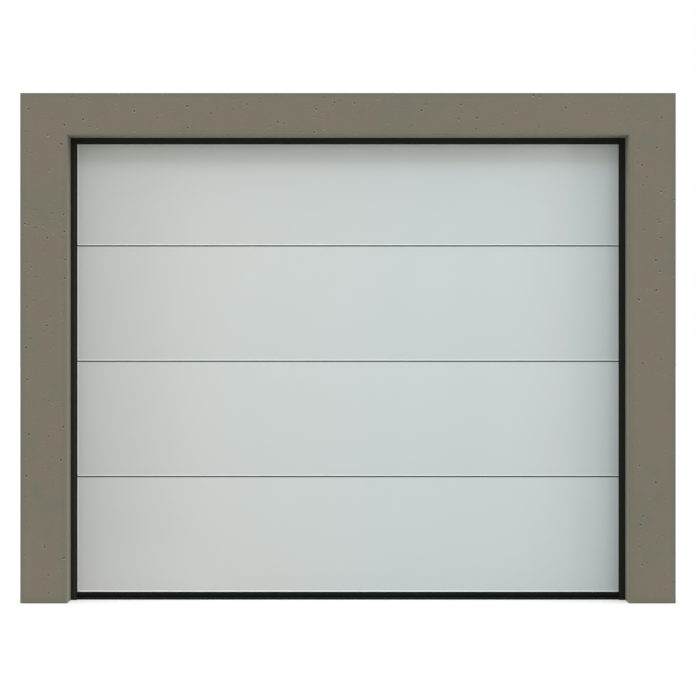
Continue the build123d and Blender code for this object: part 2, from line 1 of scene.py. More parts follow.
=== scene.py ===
import itertools
import json
import math
import bmesh
import bpy
from mathutils import Matrix, Vector


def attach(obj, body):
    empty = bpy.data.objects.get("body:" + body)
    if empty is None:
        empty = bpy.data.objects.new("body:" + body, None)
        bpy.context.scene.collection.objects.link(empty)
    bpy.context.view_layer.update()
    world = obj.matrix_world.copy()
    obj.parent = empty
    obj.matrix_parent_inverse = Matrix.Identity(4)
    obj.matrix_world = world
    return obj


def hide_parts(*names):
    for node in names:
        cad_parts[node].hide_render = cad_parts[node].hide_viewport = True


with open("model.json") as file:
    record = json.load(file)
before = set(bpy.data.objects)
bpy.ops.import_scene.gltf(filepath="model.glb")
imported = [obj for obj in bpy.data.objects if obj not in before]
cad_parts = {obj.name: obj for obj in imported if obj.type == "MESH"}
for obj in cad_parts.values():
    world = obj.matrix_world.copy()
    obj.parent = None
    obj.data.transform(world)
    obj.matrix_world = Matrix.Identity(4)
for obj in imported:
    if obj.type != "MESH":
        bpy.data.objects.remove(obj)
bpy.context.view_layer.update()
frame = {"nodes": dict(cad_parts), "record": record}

# Places that the scene is set out from, in metres, as in the part's source.
# What belongs to one side is given for the right-hand one, and the left mirrors it.

# Concrete portal
OPENING_HALF = 1.2
OPENING_TOP = 2.0
PORTAL_HALF = 1.4
PORTAL_TOP = 2.18
PORTAL_FRONT = -0.2383
PORTAL_REAR = -0.0383

# Leaf of four sections, the stiles on their ends and the plates on the stiles
LEAF_FOOT = 0.034
SECTION = 0.5
JOINTS = tuple(LEAF_FOOT + SECTION * count for count in (1, 2, 3))
LEAF_REAR = 0.020
STILE_REAR = 0.022
PLATE = 0.003
PLATE_REAR = STILE_REAR + PLATE

# Hinges and the holders of the rollers
CENTRE_HINGES = (-0.395, 0.395)
END_HINGE = 1.147
BARREL_Y = 0.029
HINGE_HALF = 0.032
HOLDER_HALF = 0.0088

# Frame, tracks and the rollers in them
LEG_REAR = -0.0363
HEADER_SCREWS_Z = 2.045
TRACK_Y = 0.042
TRACK_MIDDLE = 1.210
TRACK_OUTER = 1.224
BEND_FOOT = 1.71
RUNNING_TRACK_Z = 2.010
UPPER_TRACK_Z = 2.062
ROLLER_RISE = 0.022
BOTTOM_ROLLER = (TRACK_Y, 0.124)
TOP_ROLLER = (-0.010, UPPER_TRACK_Z)
ROLLERS = [BOTTOM_ROLLER] + [(TRACK_Y, level + ROLLER_RISE) for level in JOINTS] + [TOP_ROLLER]

# Cable: from the bracket's peg over the top pulley, round the block pulley, to its fixed eye
CABLE_X = 1.190
CABLE_Y = 0.030
PEG_Z = 0.074
PULLEY_X = 1.225
PULLEY_Z = 1.955
PULLEY_R = 0.035
BLOCK_Y = 0.008
BLOCK_Z = 1.525
BLOCK_R = 0.022
DEAD_END_Y = -0.014
DEAD_END_Z = 1.895
ROPE_R = 0.002

# Springs: the pins that they hang between, and the two coils of a side
SPRING_X = 1.260
SPRING_OFF = 0.017
YOKE_PIN_Z = 1.478
ANCHOR_Z = 0.220
WIRE_R = 0.00175
COIL_R = 0.01225
COIL_LOW = 0.2376
COIL_HIGH = 1.4604
COIL_TURNS = 150
HOOK_R = 0.0072


# Finishes: procedural materials on object coordinates

WHITE = (1, 1, 1, 1)
# Keeps the origin of the flat patterns off the work
FLAT_ORIGIN = (7.3, 3.1)


def tone(red, green, blue):
    """Colour as it is seen, 0 to 255, turned into the linear values a shader works with."""
    def linear(value):
        value /= 255
        return value / 12.92 if value <= 0.04045 else ((value + 0.055) / 1.055) ** 2.4
    return (linear(red), linear(green), linear(blue), 1.0)


class Signal:
    """One number that varies over a surface; sums on it are written as plain expressions."""

    def __init__(self, shading, socket):
        self.shading = shading
        self.socket = socket

    def sum(self, operation, first, second=0.0):
        return self.shading.node("Math", {0: first, 1: second}, operation=operation)

    def __add__(self, other):
        return self.sum("ADD", self, other)

    def __sub__(self, other):
        return self.sum("SUBTRACT", self, other)

    def __mul__(self, other):
        return self.sum("MULTIPLY", self, other)

    def __truediv__(self, other):
        return self.sum("DIVIDE", self, other)

    def __radd__(self, other):
        return self.sum("ADD", other, self)

    def __rsub__(self, other):
        return self.sum("SUBTRACT", other, self)

    def __rmul__(self, other):
        return self.sum("MULTIPLY", other, self)

    def at_least(self, other):
        return self.sum("MAXIMUM", self, other)

    def at_most(self, other):
        return self.sum("MINIMUM", self, other)

    def fraction(self):
        return self.sum("FRACT", self)

    def size(self):
        return self.sum("ABSOLUTE", self)

    def step(self, low, high):
        """0 up to low and 1 from high, with a smooth rise between them."""
        return self.shading.node("MapRange", {"Value": self, "From Min": low, "From Max": high},
                                 interpolation_type="SMOOTHSTEP")


class Shading:
    """Node tree of a material or of the surroundings, put together node by node."""

    def __init__(self, owner):
        owner.use_nodes = True
        self.tree = owner.node_tree
        self.tree.nodes.clear()

    def made(self, kind, values=None, **settings):
        """Add a node: its settings first, then the values or links of its sockets."""
        node = self.tree.nodes.new("ShaderNode" + kind)
        for key, value in settings.items():
            setattr(node, key, value)
        for key, value in (values or {}).items():
            if isinstance(value, Signal):
                self.tree.links.new(value.socket, node.inputs[key])
            else:
                node.inputs[key].default_value = value
        return node

    def outputs(self, node, *keys):
        """Several outputs of a node."""
        return [Signal(self, node.outputs[key]) for key in keys]

    def node(self, kind, values=None, out=0, **settings):
        """Add a node and hand back one of its outputs."""
        return self.outputs(self.made(kind, values, **settings), out)[0]

    def watched(self):
        """1 for what the camera sees, straight or by gloss or glass, and 0 for the light on the work."""
        camera, gloss, glass = self.outputs(self.made("LightPath"), "Is Camera Ray", "Is Glossy Ray",
                                            "Is Transmission Ray")
        return camera.at_least(gloss).at_least(glass)


class Finish(Shading):
    """Material on object coordinates."""

    def __init__(self, name):
        self.material = bpy.data.materials.new(name)
        super().__init__(self.material)
        self.place = self.node("TexCoord", out="Object")
        self.x, self.y, self.z = self.outputs(self.made("SeparateXYZ", {0: self.place}), 0, 1, 2)

    def noise(self, scale, detail=2.0, rough=0.5, place=None, **values):
        sockets = {"Vector": place or self.place, "Scale": scale, "Detail": detail, "Roughness": rough}
        return self.node("TexNoise", sockets | values)

    def stretched(self, x, y, z):
        """Object coordinates drawn out, so that a pattern runs along an axis with a small factor."""
        return self.node("Mapping", {"Vector": self.place, "Scale": (x, y, z)})

    def flat_place(self):
        """Place on whichever flat side of the work a point lies, as two numbers."""
        facing_side = self.made("SeparateXYZ", {0: self.node("NewGeometry", out="Normal")})
        sideways, upward = (way.size().step(0.4, 0.6) for way in self.outputs(facing_side, 0, 2))
        across = self.x + (self.y - self.x) * sideways
        up = self.z + (self.y - self.z) * upward
        return self.node("CombineXYZ", {0: across + FLAT_ORIGIN[0], 1: up + FLAT_ORIGIN[1]})

    def jittered(self, place, scale, amount):
        """Places pushed about by a fine noise, so that cells and pits get ragged outlines."""
        push = self.node("TexNoise", {"Vector": place, "Scale": scale, "Detail": 1.0}, out="Color")
        push = self.node("VectorMath", {0: push, "Scale": amount}, operation="SCALE")
        return self.node("VectorMath", {0: place, 1: push}, operation="ADD")

    def edge_distance(self, depths):
        """How far a point on a solid's face lies from the nearest edge, from its depths under all faces."""
        pairs = [first.at_least(second) for first, second in itertools.combinations(depths, 2)]
        nearest = pairs[0]
        for pair_depth in pairs[1:]:
            nearest = nearest.at_most(pair_depth)
        return nearest

    def mix(self, share, first, second):
        return self.node("Mix", {0: share, 6: first, 7: second}, out=2, data_type="RGBA")

    def shade(self, colour, amount):
        """A colour made lighter or darker all over by a factor."""
        grey = self.node("CombineColor", {0: amount, 1: amount, 2: amount})
        return self.node("Mix", {0: 1.0, 6: colour, 7: grey}, out=2, data_type="RGBA",
                         blend_type="MULTIPLY")

    def surface(self, colour, roughness, height, lift, **values):
        """Close the material with its surface shader and, from a height in units of lift, its bump."""
        bump = self.node("Bump", {"Height": height, "Distance": lift, "Strength": 1.0})
        sockets = {"Base Color": colour, "Roughness": roughness, "Normal": bump}
        sockets |= {key.replace("_", " "): value for key, value in values.items()}
        self.made("OutputMaterial", {"Surface": self.node("BsdfPrincipled", sockets)})
        return self.material


# Kinds of open pores in the concrete: scale of their cells, widest radius and share of the cells
WIDE_PORES = ((13.0, 0.0044, 0.58), (26.0, 0.0028, 0.46))
PIN_HOLES = ((70.0, 0.0013, 0.22),)
PORE_DROP = 0.0042


def open_pores(f, flat, crowd, kinds):
    """Pits and the faint rims round them, painted as highlights, from the cells of each kind of pore."""
    pits = painted_rim_highlights = 0.0
    for scale, widest, share in kinds:
        cell = f.made("TexVoronoi", {"Vector": flat, "Scale": scale, "Randomness": 1.0},
                      voronoi_dimensions="2D")
        chance, distance = f.outputs(cell, "Color", "Distance")
        luck = f.node("SeparateColor", {0: chance}) / share + (1 - crowd) * 0.7
        radius = ((1 - luck).at_least(0.0) * 1.9 * widest).at_most(widest).at_least(0.00001)
        reach = distance / scale / radius
        pits = (1 - reach.step(0.72, 1.0)).at_least(pits)
        rim = (1 - (reach - 1.25).size().step(0.1, 0.5)) * radius.step(0.0005, 0.0015)
        painted_rim_highlights = rim.at_least(painted_rim_highlights)
    return pits, painted_rim_highlights


def cast_concrete():
    """Smooth grey-brown cast concrete with clouds, sand and small open pores."""
    f = Finish("cast_concrete")
    # Greener and calmer in a band along every edge of the casting, and darker on the arrises
    outside = [PORTAL_HALF - f.x.size(), PORTAL_TOP - f.z, f.z, f.y - PORTAL_FRONT, PORTAL_REAR - f.y]
    reveal = (f.x.size() - OPENING_HALF).at_least(f.z - OPENING_TOP)
    rim = 1 - f.edge_distance(outside + [reveal]).step(0.006, 0.030)
    arris = 1 - f.edge_distance(outside).step(0.0042, 0.0060)
    clouds = (f.noise(1.6, 2.0, 0.5) * 0.3 + f.noise(6.5, 3.0, 0.6) * 0.7).step(0.30, 0.58)
    colour = f.mix(clouds * (1 - rim * 0.8), tone(103, 103, 86), tone(112, 105, 89))
    colour = f.shade(colour, 1 - arris * 0.24)
    # Mottle and sand all over, and a paler foot that is painted light against the shade near the floor
    mottle = f.noise(14.0, 5.0, 0.65)
    sand = f.noise(420.0, 2.0, 0.6)
    foot = 1 - f.z.step(0.0, 0.5)
    colour = f.shade(colour, 0.90 + mottle * 0.12 + sand * 0.08 + foot * 0.08)
    # Open pores in drifts: dark pits, with painted highlights on faint rims round them and on their lower
    # lips
    flat = f.jittered(f.flat_place(), 220.0, 0.005)
    crowd = f.noise(1.7, 1.0, 0.5).step(0.30, 0.52)
    pits, painted_rim_highlights = open_pores(f, flat, crowd, WIDE_PORES + PIN_HOLES)
    higher = f.node("VectorMath", {0: flat, 1: (0.0, PORE_DROP, 0.0)}, operation="ADD")
    painted_lip_highlights = open_pores(f, higher, crowd, WIDE_PORES)[0] * (1 - pits)
    # Painted highlights: light rims round the pits and light lower lips just below them
    colour = f.mix(painted_rim_highlights * 0.30, colour, tone(150, 146, 126))
    colour = f.mix(painted_lip_highlights * 0.50, colour, tone(166, 162, 142))
    colour = f.mix(pits * 0.95, colour, tone(36, 33, 25))
    height = mottle * 0.35 + sand * 0.12 - pits * 2.2
    return f.surface(colour, 0.54 + mottle * 0.16, height, 0.0012, Sheen_Weight=0.22, Sheen_Roughness=0.4,
                     Sheen_Tint=tone(205, 200, 184))


def coated_panel():
    """Silver-grey coated sheet outside, lighter embossed sheet on the garage side."""
    f = Finish("coated_panel")
    left = 0 - f.x
    # Slow drift of the coat's tone over the leaf, from corner to corner
    drift = f.noise(0.9, 2.0, 0.5)
    side = (f.x + drift * 1.2 - 0.6).step(-0.9, 0.9)
    front = f.mix(side, tone(199, 204, 201), tone(197, 206, 207))
    # Painted shade: darker and duller towards the left edge and under the header
    front = f.mix(left.step(0.50, 1.20) * 0.5, front, tone(188, 190, 186))
    front = f.mix(f.z.step(1.80, 1.98) * 0.6, front, tone(186, 188, 178))
    # Painted light: a lighter band over the right part of the leaf
    painted_light_band = f.x.step(0.45, 0.95) * (1 - f.x.step(0.93, 1.02))
    front = f.mix(painted_light_band * 0.6, front, tone(206, 212, 211))
    # Painted shade under the header and along the right edge, over a slight painted lift in tone from 1.78
    # m up
    front = f.shade(front, 1 + f.z.step(1.78, 1.86) * 0.03 - f.z.step(1.875, 1.910) * 0.085
                    - f.x.step(1.115, 1.160) * 0.08)
    # Warmer and lighter in the lower left corner
    warm_corner = (1 - f.z.step(0.04, 0.35)) * (1 - f.x.step(-0.90, 0.20))
    front = f.mix(warm_corner * 0.35, front, tone(212, 209, 203))
    # Within each section: a painted rise in light to its upper edge, painted shade with some dirt in the
    # seam there, and painted highlights on the lips and along the left edge
    rise = ((f.z - LEAF_FOOT) / SECTION).fraction()
    over_joint = rise * SECTION
    cloud = f.noise(3.1, 3.0, 0.55)
    flake = f.noise(2600.0, 1.0, 0.5)
    # Cloud and flake in the coat, and painted light rising to each section's upper edge
    front = f.shade(front, 0.955 + cloud * 0.03 + flake * 0.02 + rise * 0.035)
    # Painted shade with some dirt: darker in the top 2 mm of each section
    front = f.shade(front, 1 - over_joint.step(0.4946, 0.4966) * 0.32)
    # Painted highlights: the lower edge of each section and the leaf's left edge are made lighter
    lip = (1 - over_joint.step(0.0054, 0.0072)).at_least(left.step(1.1668, 1.1680) * 0.8)
    front = f.mix(lip * 0.9, front, tone(243, 247, 246))
    # The sheet on the garage side
    emboss = f.noise(240.0, 2.0, 0.45, Distortion=0.6)
    rear = f.shade(f.mix(cloud, tone(214, 216, 213), tone(208, 211, 209)), 0.95 + emboss * 0.08)
    inside = f.y.step(0.0188, 0.0196)
    height = (flake * 0.01) * (1 - inside) + (emboss * 0.35) * inside
    return f.surface(f.mix(inside, front, rear), 0.40 + flake * 0.06 + inside * 0.12, height, 0.0006,
                     Metallic=0.12, Specular_IOR_Level=0.4)


def zinc_steel():
    """Hot-dip galvanised sheet with a soft spangle and a few dull marks."""
    f = Finish("zinc_steel")
    ragged = f.jittered(f.place, 90.0, 0.012)
    spangle = 0
    for scale, share in ((105.0, 0.65), (230.0, 0.35)):
        cell = f.node("TexVoronoi", {"Vector": ragged, "Scale": scale, "Randomness": 1.0}, out="Color")
        spangle = f.node("SeparateColor", {0: cell}) * share + spangle
    dull = f.noise(18.0, 4.0, 0.6).step(0.5, 0.8)
    fine = f.noise(500.0, 2.0, 0.5)
    colour = f.mix(spangle, tone(158, 162, 165), tone(184, 188, 190))
    colour = f.mix(dull * 0.5, colour, tone(144, 147, 149))
    return f.surface(f.shade(colour, 0.94 + fine * 0.1), 0.36 + spangle * 0.14 + dull * 0.14,
                     spangle * 0.05 + fine * 0.1, 0.0003, Metallic=0.85)


def bright_steel():
    """Drawn or machined steel with fine lines along the door."""
    f = Finish("bright_steel")
    lines = f.noise(1.0, 3.0, 0.6, place=f.stretched(30.0, 900.0, 900.0))
    smear = f.noise(22.0, 3.0, 0.5)
    colour = f.mix(lines * 0.6 + smear * 0.4, tone(160, 161, 160), tone(200, 200, 197))
    return f.surface(colour, 0.24 + smear * 0.16, lines * 0.2, 0.0002, Metallic=0.9)


def rolled_wire():
    """Grey spring wire with a dull zinc coat and darker rub marks."""
    f = Finish("rolled_wire")
    rub = f.noise(35.0, 4.0, 0.6).step(0.45, 0.7)
    fine = f.noise(700.0, 2.0, 0.5)
    colour = f.mix(rub, tone(128, 130, 133), tone(162, 165, 168))
    return f.surface(f.shade(colour, 0.9 + fine * 0.2), 0.42 + fine * 0.12, fine * 0.1, 0.0002,
                     Metallic=0.8)


def wire_rope():
    """Bright strands, greasy and dull in places."""
    f = Finish("wire_rope")
    fine = f.noise(1500.0, 2.0, 0.5)
    grease = f.noise(40.0, 3.0, 0.6).step(0.4, 0.75)
    colour = f.mix(grease * 0.5, tone(178, 178, 174), tone(112, 108, 98))
    return f.surface(f.shade(colour, 0.85 + fine * 0.25), 0.32 + fine * 0.1, fine * 0.1, 0.0001,
                     Metallic=0.85)


def black_rubber():
    """Matt black sealing rubber: dust in its finest grain, painted shade that makes its lips deep black,
    and a painted highlight on the left seal.
    """
    f = Finish("black_rubber")
    left = 0 - f.x
    dust = f.noise(60.0, 5.0, 0.65).step(0.5, 0.85)
    grain = f.noise(900.0, 2.0, 0.5)
    colour = f.mix(dust * 0.35, tone(30, 32, 24), tone(46, 47, 39))
    # Painted shade: the lips next to the leaf are made much darker
    lip = (1 - f.x.size().step(1.1760, 1.1775)) * (1 - f.z.step(1.9770, 1.9785))
    colour = f.shade(colour, 1 - lip * 0.75)
    # Painted highlight: a lighter band on the left seal, as if lit from the right
    painted_side_highlight = left.step(1.1785, 1.1800) * (1 - left.step(1.1855, 1.1875))
    colour = f.mix(painted_side_highlight * (1 - f.z.step(1.9700, 1.9785)) * 0.8, colour, tone(45, 47, 41))
    return f.surface(colour, 0.66 + grain * 0.18, grain * 0.3, 0.0003, Specular_IOR_Level=0.15)


def sole_rubber():
    """Black rubber of the bottom seal, with dust and a painted highlight on its bulge, and near black
    elsewhere as painted shade at its foot.
    """
    f = Finish("sole_rubber")
    dust = f.noise(60.0, 5.0, 0.65).step(0.3, 0.7)
    grain = f.noise(900.0, 2.0, 0.5)
    # Dust and a painted highlight on the bulge; the near-black base stands for shade at the foot
    bulge_dust_and_highlight = 1 - (f.z - 0.0085).size().step(0.0018, 0.0032)
    colour = f.mix(bulge_dust_and_highlight * (0.75 + dust * 0.25), tone(2, 2, 2), tone(54, 57, 56))
    return f.surface(colour, 0.70 + grain * 0.16, grain * 0.3, 0.0003, Specular_IOR_Level=0.03)


def powder_coat():
    """Black powder coat with its fine orange peel."""
    f = Finish("powder_coat")
    peel = f.noise(380.0, 2.0, 0.4)
    haze = f.noise(7.0, 3.0, 0.6)
    colour = f.mix(haze, tone(30, 31, 30), tone(40, 41, 39))
    return f.surface(colour, 0.42 + haze * 0.12, peel * 0.4, 0.0004)


def black_anodised():
    """Black anodised extrusion with faint drawing lines, and painted shade over and under its middle band.
    """
    f = Finish("black_anodised")
    lines = f.noise(1.0, 3.0, 0.6, place=f.stretched(2.0, 700.0, 700.0))
    # Painted shade in the shadow gaps over and under the middle band
    groove_painted_shade = f.z.step(0.0305, 0.0312).at_least(1 - f.z.step(0.0172, 0.0180))
    colour = f.shade(f.mix(lines, tone(16, 20, 19), tone(26, 31, 30)), 1 - groove_painted_shade * 0.85)
    return f.surface(colour, 0.42 + lines * 0.16, lines * 0.2 - groove_painted_shade * 4.0, 0.0002,
                     Specular_IOR_Level=0.04)


def moulded_nylon(name, light, dark, worn):
    """Moulded nylon with faint flow marks and a rubbed running surface."""
    f = Finish(name)
    flow = f.noise(45.0, 3.0, 0.5, Distortion=1.2)
    scuff = f.noise(160.0, 4.0, 0.65).step(0.5, 0.8)
    colour = f.mix(scuff * 0.4, f.mix(flow, dark, light), worn)
    return f.surface(colour, 0.38 + scuff * 0.2, flow * 0.1 + scuff * 0.1, 0.0003)


FINISHES = {
    "concrete": cast_concrete(),
    "panel_coating": coated_panel(),
    "frame_coating": powder_coat(),
    "seal_rubber": black_rubber(),
    "black_aluminium": black_anodised(),
    "zinc_steel": zinc_steel(),
    "bright_steel": bright_steel(),
    "spring_steel": rolled_wire(),
    "roller_nylon": moulded_nylon("roller_nylon", tone(226, 223, 210), tone(214, 210, 196),
                                  tone(176, 172, 158)),
    "pulley_nylon": moulded_nylon("pulley_nylon", tone(44, 44, 44), tone(30, 30, 30), tone(66, 66, 64)),
}
ROPE = wire_rope()
SOLE = sole_rubber()

for entry in frame["record"]["subparts"]:
    node = frame["nodes"][entry["node"]]
    node.data.materials.clear()
    node.data.materials.append(SOLE if entry["node"] == "bottom_seal" else FINISHES[entry["material_slot"]])


# Workshop: shapes are started from a primitive and worked in edit mode

# Distances that count as none: for picking, at a wheel's middle, for an edge and for welding
SAME_PLACE = 1e-4
HUB_PLACE = 0.001
NO_LENGTH = 1e-7
WELD = 5e-6
ROPE_WELD = 2e-5
# How much of a unit direction has to lie along an axis, for an edge and for a face
ALONG = 0.999
FACING = 0.9
SHARP = 35
FINE_EDGE = 0.0008
TURNS = {"X": (0, math.pi / 2, 0), "Y": (math.pi / 2, 0, 0), "Z": (0, 0, 0)}


def deselect():
    bpy.ops.object.select_all(action="DESELECT")


def pick(*pieces):
    """Select only these pieces and make the first one active."""
    deselect()
    for piece in pieces:
        piece.select_set(True)
    bpy.context.view_layer.objects.active = pieces[0]


def settle():
    """Put the active object's place, turn and size into its mesh."""
    bpy.ops.object.transform_apply(location=True, rotation=True, scale=True)
    return bpy.context.object


def block(low, high):
    """A rectangular piece between two corners, ready to be worked."""
    deselect()
    low, high = Vector(low), Vector(high)
    bpy.ops.mesh.primitive_cube_add(size=1, location=(low + high) / 2)
    bpy.context.object.scale = high - low
    return settle()


def rod(centre, axis, radius, length, sides):
    """A round or many-sided bar along an axis, centred on a point."""
    deselect()
    bpy.ops.mesh.primitive_cylinder_add(vertices=sides, radius=radius, depth=length, location=centre,
                                        rotation=TURNS[axis])
    return settle()


def ring(centre, axis, radius, wire, around=28, across=10):
    """A closed wire loop round an axis."""
    deselect()
    bpy.ops.mesh.primitive_torus_add(major_radius=radius, minor_radius=wire, major_segments=around,
                                     minor_segments=across, location=centre, rotation=TURNS[axis])
    return settle()


class Editing:
    """Edit mode on one object, in which faces or edges are picked by their place and direction."""

    def __init__(self, piece):
        self.piece = piece

    def __enter__(self):
        pick(self.piece)
        bpy.ops.object.mode_set(mode="EDIT")
        bpy.ops.mesh.select_all(action="DESELECT")
        return self

    def __exit__(self, *ending):
        bpy.ops.object.mode_set(mode="OBJECT")

    def mesh(self):
        return bmesh.from_edit_mesh(self.piece.data)

    def faces(self, test):
        """Select only the faces whose centre and normal pass a test."""
        bpy.ops.mesh.select_mode(type="FACE")
        for face in self.mesh().faces:
            face.select_set(test(face.calc_center_median(), face.normal))
        bmesh.update_edit_mesh(self.piece.data)

    def edges(self, test):
        """Select only the edges whose ends pass a test."""
        bpy.ops.mesh.select_mode(type="EDGE")
        mesh = self.mesh()
        for edge in mesh.edges:
            edge.select_set(False)
        for edge in mesh.edges:
            if test(edge.verts[0].co, edge.verts[1].co):
                edge.select_set(True)
        mesh.select_flush_mode()
        bmesh.update_edit_mesh(self.piece.data)

    def merge(self, distance):
        """Weld every vertex to the ones that lie closer than a distance."""
        bpy.ops.mesh.select_all(action="SELECT")
        bpy.ops.mesh.remove_doubles(threshold=distance)

    def turn_outwards(self):
        bpy.ops.mesh.select_all(action="SELECT")
        bpy.ops.mesh.normals_make_consistent(inside=False)


def along(axis):
    """Test for edges that run along an axis."""
    index = "XYZ".index(axis)

    def test(first, second):
        step = second - first
        return step.length > NO_LENGTH and abs(step[index]) / step.length > ALONG
    return test


def facing(axis, way=0):
    """Test for faces that look along an axis (1), against it (-1) or either way (0)."""
    index = "XYZ".index(axis)

    def test(centre, normal):
        return (normal[index] * way if way else abs(normal[index])) > FACING
    return test


def hub(way=0):
    """Test for the innermost face on a side of a wheel that turns about X."""
    return lambda centre, normal: facing("X", way)(centre, normal) and centre.yz.length < HUB_PLACE


def extruded(x):
    """Raise or sink the selected face along X."""
    bpy.ops.mesh.extrude_region_move(TRANSFORM_OT_translate={"value": (x, 0, 0)})


def applied(piece, kind, **settings):
    """Work a piece with a modifier and apply it."""
    pick(piece)
    modifier = piece.modifiers.new(kind, kind)
    for key, value in settings.items():
        setattr(modifier, key, value)
    bpy.ops.object.modifier_apply(modifier=modifier.name)
    return piece


def rounded(piece, width, steps=2):
    """Break a piece's sharp edges, and weld what meets where it is thinner than the bevel."""
    applied(piece, "BEVEL", width=width, segments=steps, angle_limit=math.radians(SHARP))
    with Editing(piece) as edit:
        edit.merge(WELD)
    return piece


def joined(parts):
    """Make one object of several."""
    pick(*parts)
    bpy.ops.object.join()
    return bpy.context.object


def moved(piece, move):
    """Shift or turn a piece's own mesh."""
    piece.data.transform(move if isinstance(move, Matrix) else Matrix.Translation(Vector(move)))
    return piece


def copied(piece, *moves):
    """Copies of a piece at each move, each with its own mesh."""
    copies = []
    for move in moves:
        twin = piece.copy()
        twin.data = piece.data.copy()
        bpy.context.scene.collection.objects.link(twin)
        copies.append(moved(twin, move))
    return copies


def mirrored(piece):
    """The left-hand copy of a right-hand piece."""
    twin = copied(piece, Matrix.Diagonal((-1, 1, 1, 1)))[0]
    twin.data.flip_normals()
    return twin


def put_away(*pieces):
    """Remove patterns once their copies are set out."""
    for piece in pieces:
        bpy.data.objects.remove(piece)


def fitted(piece, name, slot, finish=None, angle=SHARP, stands_for=()):
    """Name, smooth and paint a finished piece, and tie it to the frame."""
    pick(piece)
    bpy.ops.object.shade_smooth_by_angle(angle=math.radians(angle))
    piece.name = name
    piece.data.name = name
    piece.data.materials.clear()
    piece.data.materials.append(finish or FINISHES[slot])
    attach(piece, "root")
    if stands_for:
        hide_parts(*stands_for)


def pair(right, name, slot, finish=None, angle=SHARP, stands_for=()):
    """Fit a right-hand piece and its mirror image."""
    left = mirrored(right)
    fitted(right, "right_" + name, slot, finish, angle, ["right_" + node for node in stands_for])
    fitted(left, "left_" + name, slot, finish, angle, ["left_" + node for node in stands_for])


# Fasteners, each drawn once at the origin, on a seat at y = 0

WASHER = 0.0016
WASHER_R = 0.0092
HEAD = 0.0045
HEAD_R = 0.0075
# Shares of the head's radius
HEAD_CHAMFER = 0.16
HEAD_CROWN = 0.08
RIVET_HIGH = 0.003
RIVET_R = 0.006
TO_THE_SIDE = Matrix.Rotation(-math.pi / 2, 4, "Z")


def hex_screw():
    """Flanged hexagon screw head that points to +Y."""
    washer = rod((0, WASHER / 2, 0), "Y", WASHER_R, WASHER, sides=16)
    crown = rod((0, WASHER + HEAD / 2, 0), "Y", HEAD_R, HEAD, sides=6)
    with Editing(crown) as edit:
        edit.faces(facing("Y", 1))
        bpy.ops.mesh.inset(thickness=HEAD_R * HEAD_CHAMFER)
        bpy.ops.transform.translate(value=(0, HEAD_R * HEAD_CROWN, 0))
    return joined([washer, crown])


def dome_rivet():
    """Domed rivet head that points to +Y."""
    head = rod((0, RIVET_HIGH / 2, 0), "Y", RIVET_R, RIVET_HIGH, sides=14)
    with Editing(head) as edit:
        edit.faces(facing("Y", 1))
        bpy.ops.mesh.bevel(offset=RIVET_HIGH * 0.75, segments=3, affect="EDGES")
    return head


def set_out(fastener, places, turn=Matrix.Identity(4)):
    """Copies of a fastener on a list of seats, turned to face its own way."""
    return copied(fastener, *[Matrix.Translation(Vector(place)) @ turn for place in places])


def rows(columns, seat, levels):
    """Seats on a plane of constant y, column by column."""
    return [(x, seat, z) for x in columns for z in levels]


SCREW = hex_screw()
RIVET = dome_rivet()


# Hinges, drawn on a joint at z = 0: the leaves reach from LEAF_NEAR to LEAF_FAR off the joint

LEAF_NEAR = 0.0085
LEAF_FAR = 0.062
LEAF_CORNER = 0.009
LEAF_CHAMFER = 0.0012
RIB_HALF = 0.006
RIB_NEAR = 0.010
RIB_FAR = 0.052
RIB_SUNK = 0.002
RIB_PROUD = 0.0052
RIB_EDGE = 0.0022
KNUCKLE_R = 0.007
MIDDLE_KNUCKLE = ((-0.0125, 0.0125),)
OUTER_KNUCKLES = ((-HINGE_HALF, -0.0135), (0.0135, HINGE_HALF))
NECK_FOOT = 0.001
NECK_TOP = 0.0135
NECK_PROUD = 0.0052
NECK_LEAN = 0.0012
PIN_R = 0.003
PIN_END = 0.001
PIN_HEAD = 0.0024
PIN_HEAD_R = 0.0048
HINGE_SCREW_COLUMNS = (-0.021, 0.021)
HINGE_SCREW_LEVELS = (-0.022, -0.048, 0.022, 0.048)


def beside_joint(side, near, far):
    """Lower and upper level of what lies between two distances above (1) or below (-1) a joint."""
    return sorted((side * near, side * far))


def knuckle(seat, side, start, stop):
    """One rolled knuckle and the neck that joins it to its leaf."""
    barrel = rod(((start + stop) / 2, BARREL_Y, 0), "X", KNUCKLE_R, stop - start, sides=24)
    foot, top = beside_joint(side, NECK_FOOT, NECK_TOP)
    neck = block((start, seat, foot), (stop, seat + PLATE, top))
    with Editing(neck) as edit:
        edit.faces(lambda centre, normal: facing("Z")(centre, normal)
                   and abs(centre.z - side * NECK_FOOT) < SAME_PLACE)
        rise = BARREL_Y + NECK_PROUD - seat - PLATE
        bpy.ops.transform.translate(value=(0, rise, side * NECK_LEAN))
    return [rounded(barrel, FINE_EDGE), neck]


def hinge_leaf(seat, side, spans):
    """Pressed leaf of a hinge with its knuckles, above (1) or below (-1) the joint."""
    end = side * LEAF_FAR
    low, high = beside_joint(side, LEAF_NEAR, LEAF_FAR)
    plate = block((-HINGE_HALF, seat, low), (HINGE_HALF, seat + PLATE, high))
    with Editing(plate) as edit:
        edit.edges(lambda a, b: along("Y")(a, b) and abs(a.z - end) < SAME_PLACE)
        bpy.ops.mesh.bevel(offset=LEAF_CORNER, segments=4, affect="EDGES")
        edit.faces(facing("Y", 1))
        bpy.ops.mesh.inset(thickness=LEAF_CHAMFER)
    low, high = beside_joint(side, RIB_NEAR, RIB_FAR)
    rib = block((-RIB_HALF, seat + RIB_SUNK, low), (RIB_HALF, seat + RIB_PROUD, high))
    parts = [plate, rounded(rib, RIB_EDGE, steps=3)]
    for start, stop in spans:
        parts += knuckle(seat, side, start, stop)
    return parts


